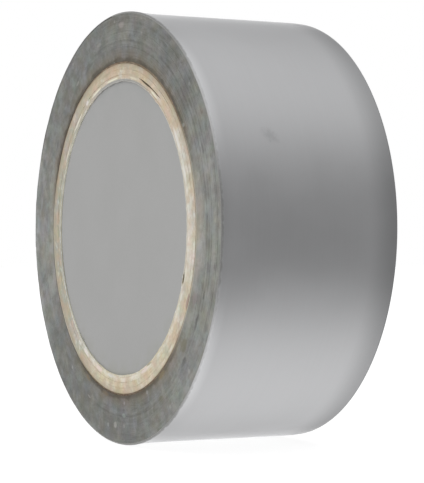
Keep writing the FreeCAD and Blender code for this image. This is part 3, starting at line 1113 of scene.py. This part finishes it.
# --- core -------------------------------------------------------------------------------
def ply_tube(name, node, inner_r, outer_r, material, seed, end_rows,
             front_step, back_step, fuzz=0.05, away=()):
    """One layer of the core.  away lists arcs, as for arc_bumps, over which its front
    edge leans in from the next layer."""
    outer_r = outer_r - PLY_GAP
    columns = 900
    phi = np.arange(columns) / columns * TAU
    share = np.linspace(0.0, 1.0, end_rows)

    def end(end_seed, step):
        """How far a cut end stands out."""
        height = fuzz * field_noise(share[:, None], (phi / TAU)[None, :], 4, 150, end_seed,
                                    octaves=2)
        height += 0.6 * fuzz * ring_noise(phi, 24, end_seed + 3)[None, :]
        inside = np.minimum(smooth(0, 0.18, share), smooth(1, 0.82, share))[:, None]
        return step + height - 0.05 * (1 - inside)

    face_r = inner_r + (outer_r - inner_r) * share[:, None] + 0 * phi[None, :]
    gap = arc_bumps(np.degrees(phi), away)[None, :]
    # outer wall: y, share of the gap
    wall_y, wall_share = np.array([
        (-HALF_W + 0.12, 1.0), (-HALF_W + 0.42, 0.72), (-HALF_W + 0.80, 0.28),
        (-HALF_W + 1.2, 0.0), (-20.0, 0.0), (20.0, 0.0)]).T[:, :, None]
    radius = np.concatenate([face_r - gap * smooth(0.25, 1.0, share)[:, None],
                             outer_r - wall_share * gap, face_r[::-1],
                             np.full((2, columns), inner_r)])
    y = np.concatenate([-(HALF_W + end(seed, front_step)), np.repeat(wall_y, columns, 1),
                        (HALF_W + end(seed + 100, back_step))[::-1],
                        np.repeat(np.array([[20.0], [-20.0]]), columns, 1)])
    ob = ring_piece(name, radius, y, phi, [material], sharp=50)
    mount(ob, "roll", [node])


def lip_profile(deg):
    """How far the liner's torn lip stands into the mouth at the front."""
    phi = np.radians(deg)
    torn = 0.12 + 0.20 * ring_noise(phi, 70, 301, fall=0.75) + 0.09 * ring_noise(phi, 18, 302)
    torn = torn + arc_bumps(deg, ((-128, 9, 0.16), (-60, 8, 0.12), (-52, 4, 0.10),
                                  (-105, 6, 0.10), (118, 10, 0.10)))
    return np.clip(torn, 0.02, 0.36) * (1 - 0.95 * arc_bump(deg, -20, 5))


def liner():
    """Bore liner with its butt seam, seat step and torn front lip."""
    half_seam = SEAM_W / 2 / BORE_R              # as an angle
    wall_phi = np.linspace(half_seam, TAU - half_seam, 1080)
    phi = np.concatenate([[-half_seam + 1e-5], wall_phi[:1] - 1e-5, wall_phi])
    in_seam = np.arange(len(phi)) < 2
    twist = WIND / BORE_R
    seam = math.radians(SEAM_DEG)
    front_deg = np.degrees(phi + seam + twist * -HALF_W)

    outer_r = LINER_R - PLY_GAP
    # where the liner has come away from the ply behind it and bows inwards
    peel = 0.24 * arc_bump(front_deg, 341.5, 3.5)
    lip = lip_profile(front_deg)
    front = 0.05 * ring_noise(phi, 160, 310) + 0.05 * ring_noise(phi, 30, 311)
    back = 0.06 * ring_noise(phi, 150, 330) + 0.04 * ring_noise(phi, 26, 331)
    back_lip = 0.05 + 0.06 * ring_noise(phi, 60, 332)
    seat_y = -HALF_W + SEAT_DEPTH
    # rows round the section: radius, y
    rows = [
        # outer wall, back to front
        (outer_r, HALF_W - 0.1), (outer_r, 0.0), (outer_r, -22.0),
        (outer_r - 0.30 * peel, -HALF_W + 2.2),
        (outer_r - 0.80 * peel, -HALF_W + 1.1),
        (outer_r - peel, -HALF_W + 0.04),
        # front lip
        (outer_r - peel - 0.04, -HALF_W - 0.05 - front),
        (SEAT_R - peel - 0.3 * lip + 0.06, -HALF_W - 0.06 - front * 1.4),
        (SEAT_R - peel - lip, -HALF_W + 0.03 - front),
        (SEAT_R - peel - 0.75 * lip, -HALF_W + 0.16),
        (SEAT_R - peel - 0.1 * lip, -HALF_W + 0.30),
        # seat
        (SEAT_R - peel, -HALF_W + 0.50),
        (SEAT_R - 0.8 * peel, -HALF_W + 1.1),
        (SEAT_R, seat_y - 0.05), (SEAT_R - 0.10, seat_y),
        (BORE_R + 0.03, seat_y + 0.03), (BORE_R, seat_y + 0.2),
        # bore wall
        *((BORE_R + 0.02 * ring_noise(phi, 12, 320 + int(y * 3)), y)
          for y in np.linspace(-20, 23.5, 14)),
        # back end
        (BORE_R, HALF_W - 0.15),
        (BORE_R - 0.5 * back_lip, HALF_W + back * 0.5),
        (BORE_R + 0.15, HALF_W + 0.02 + back),
        (outer_r - 0.15, HALF_W + 0.02 + back * 0.7),
    ]
    radius, y = (np.array([np.broadcast_to(row[k], phi.shape) for row in rows])
                 for k in range(2))
    # the two seam columns sink to the ply behind
    radius[(radius < outer_r - 0.30) & in_seam] = outer_r - 0.06
    ob = ring_piece("core_liner_strip", radius, y, phi[None, :] + seam + twist * y, [LINER],
                    sharp=40)
    mount(ob, "roll", ["core_inner_liner"])


def core():
    ply_tube("core_ply_1", "core_inner_ply", LINER_R, PLY1_R, BOARD, seed=401,
             end_rows=9, front_step=-0.02, back_step=0.0,
             away=((66.5, 9.0, 0.58), (58, 6, 0.34)))
    ply_tube("core_ply_2", "core_middle_ply", PLY1_R, PLY2_R, BOARD, seed=431,
             end_rows=8, front_step=0.04, back_step=0.03)
    ply_tube("core_ply_3", "core_outer_ply", PLY2_R, PLY3_R, BOARD, seed=461,
             end_rows=8, front_step=0.00, back_step=-0.02)
    ply_tube("core_wrap", "core_kraft_wrap", PLY3_R, CORE_R, KRAFT,
             seed=491, end_rows=5, front_step=-0.12, back_step=-0.08, fuzz=0.03)
    liner()


# --- card disc --------------------------------------------------------------------------
def disc_sheet(name, front_y, thickness, material, seed):
    """Closed disc with a cut rim, nicked at the right a little below the middle."""
    columns = 360
    phi = np.arange(columns) / columns * TAU
    rim = DISC_R + 0.03 * ring_noise(phi, 60, seed) - 0.34 * arc_bump(np.degrees(phi), -17.5, 5.5)
    share = np.concatenate([[0.012], np.linspace(0.05, 0.94, 24), [0.975, 0.99]])[:, None]
    wave = (DISC_CURL * smooth(0.70, 1.0, share)
            + 0.02 * field_noise(share, (phi / TAU)[None, :], 5, 10, seed + 1))
    face_r = rim[None, :] * share
    # cut rim: inset, share of the thickness
    inset, depth = np.array([(0.03, 0.0), (0.0, 0.25), (0.0, 0.75), (0.03, 1.0)]).T[:, :, None]
    rim_y = np.repeat(front_y + thickness * depth + DISC_CURL, columns, 1)
    radius = np.concatenate([face_r, rim[None, :] - inset, face_r[::-1]])
    y = np.concatenate([front_y + wave, rim_y, (front_y + thickness + wave)[::-1]])
    # close both centres with a fan written as quads over pairs of rim points
    rows = len(radius)
    front_centre, back_centre = rows * columns, rows * columns + 1
    points = np.concatenate([polar_points(radius, y, phi[None, :]).reshape(-1, 3),
                             [[0, y[0].mean(), 0], [0, y[-1].mean(), 0]]])
    i = np.arange(0, columns, 2)
    last = (rows - 1) * columns
    front_fan = np.stack([np.full(len(i), front_centre), (i + 2) % columns, i + 1, i], -1)
    back_fan = np.stack([np.full(len(i), back_centre), last + i, last + i + 1,
                         last + (i + 2) % columns], -1)
    faces = np.concatenate([quads(rows, columns, False, True), front_fan, back_fan])
    return piece(name, points, faces, [material], sharp=40)


def disc():
    facing = disc_sheet("card_disc_facing", DISC_FRONT, FACING_T, DISC_FACE, 601)
    mount(facing, "disc", ["disc_facing"])
    board = disc_sheet("card_disc_board", DISC_FRONT + FACING_T, BOARD_T, DISC_BOARD, 631)
    mount(board, "disc", ["disc_board"])


# --- stage ------------------------------------------------------------------------------
FLOOR_HALF_M, FLOOR_DROP_M = 3.0, 0.0001
FLOOR_GREY, FLOOR_GLOW = 0.30, 0.86
# strengths of the world's lights
TOP_LIGHT, BOTTOM_LIGHT, FRONT_LIGHT, PAPER_LIGHT, AMBIENT = 0.70, 0.865, 0.59, 2.30, 0.320

CAMERA_AZIMUTH, CAMERA_ROLL = 61.97, 0.13        # degrees; azimuth from -Y towards +X
CAMERA_DISTANCE_M, CAMERA_RIGHT_M, CAMERA_UP_M = 0.5202, 0.00224, -0.00333
SENSOR_W, LENS = 36.0, 144.3726708


def floor():
    """White floor just under the roll; it glows, casts no shadow and lights nothing."""
    mesh = bpy.data.meshes.new("floor")
    z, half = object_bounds()[0].z - FLOOR_DROP_M, FLOOR_HALF_M
    corners = [(-half, -half, z), (half, -half, z), (half, half, z), (-half, half, z)]
    mesh.from_pydata(corners, [], [(0, 1, 2, 3)])
    ob = bpy.data.objects.new("floor", mesh)
    scene.collection.objects.link(ob)
    mat = Material("floor_white")
    diffuse = mat.node("BsdfDiffuse", inputs={0: (FLOOR_GREY,) * 3})
    glow = mat.node("Emission", inputs={0: (1.0, 1.0, 1.0), 1: FLOOR_GLOW})
    mat.output("Material", mat.node("AddShader", inputs={0: diffuse, 1: glow}))
    mesh.materials.append(mat.material)
    ob.visible_diffuse = False
    ob.visible_glossy = False
    ob.visible_shadow = False
    ob.visible_transmission = False
    ob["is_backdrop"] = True


def world():
    """Soft light by direction; the camera itself sees plain white."""
    studio = bpy.data.worlds.new("studio")
    scene.world = studio
    graph = Graph(studio, math_inputs=2)
    x, y, z = graph.split(graph.node("TexCoord", "Generated"))
    # boxes above and below, weaker to the left and to the back
    up = z.ramp(over=(0.34, 0.80), to=(0.0, TOP_LIGHT))
    up = up * x.ramp(over=(-0.75, 0.05), to=(0.58, 1.0))
    down = (-z).ramp(over=(0.375, 0.84), to=(0.0, BOTTOM_LIGHT))
    down = down * x.ramp(over=(-0.75, 0.05), to=(0.83, 1.0))
    boxes = (up + down) * y.ramp(over=(0.70, 1.0), to=(1.0, 0.75))
    # front light comes from above and below eye level
    front = ((-y).ramp(over=(0.10, 0.80), to=(0.0, FRONT_LIGHT))
             * abs(z).ramp(over=(0.12, 0.55), to=(0.22, 1.0)))
    # dim where the camera stands, white paper behind the roll
    facing = x * 0.88 + y * -0.47
    paper = (-facing).ramp(over=(0.84, 1.0), to=(0.0, PAPER_LIGHT))
    room = facing.ramp(over=(0.50, 0.98), to=(1.0, 0.72)) * AMBIENT + paper
    total = boxes + (front + room)
    colour = graph.node("CombineColor", inputs={0: total, 1: total, 2: total * 1.01})
    lit = graph.node("Background", inputs={0: colour})
    seen = graph.node("Background", inputs={0: (1.0, 1.0, 1.0)})
    by_camera = graph.node("LightPath", "Is Camera Ray")
    graph.output("World", graph.node("MixShader", inputs={0: by_camera, 1: lit, 2: seen}))


def camera():
    """Looks level at the roll from the front right."""
    azimuth = math.radians(CAMERA_AZIMUTH)
    back = Vector((math.sin(azimuth), -math.cos(azimuth), 0.0))
    right = Vector((math.cos(azimuth), math.sin(azimuth), 0.0))
    data = bpy.data.cameras.new("camera")
    data.sensor_width = SENSOR_W
    data.lens = LENS
    data.clip_start, data.clip_end = 0.01, 20.0
    ob = bpy.data.objects.new("camera", data)
    ob.location = back * CAMERA_DISTANCE_M + right * CAMERA_RIGHT_M + Vector((0, 0, CAMERA_UP_M))
    ob.rotation_mode = "QUATERNION"
    roll = Quaternion((0, 0, 1), math.radians(CAMERA_ROLL))
    ob.rotation_quaternion = (-back).to_track_quat("-Z", "Y") @ roll
    scene.collection.objects.link(ob)
    scene.camera = ob


wound_tape()
last_turn()
tail()
core()
disc()
floor()
world()
camera()
scene.view_settings.view_transform = "Standard"
scene.view_settings.look = "None"
scene.view_settings.exposure = 0.0
scene.view_settings.gamma = 1.0
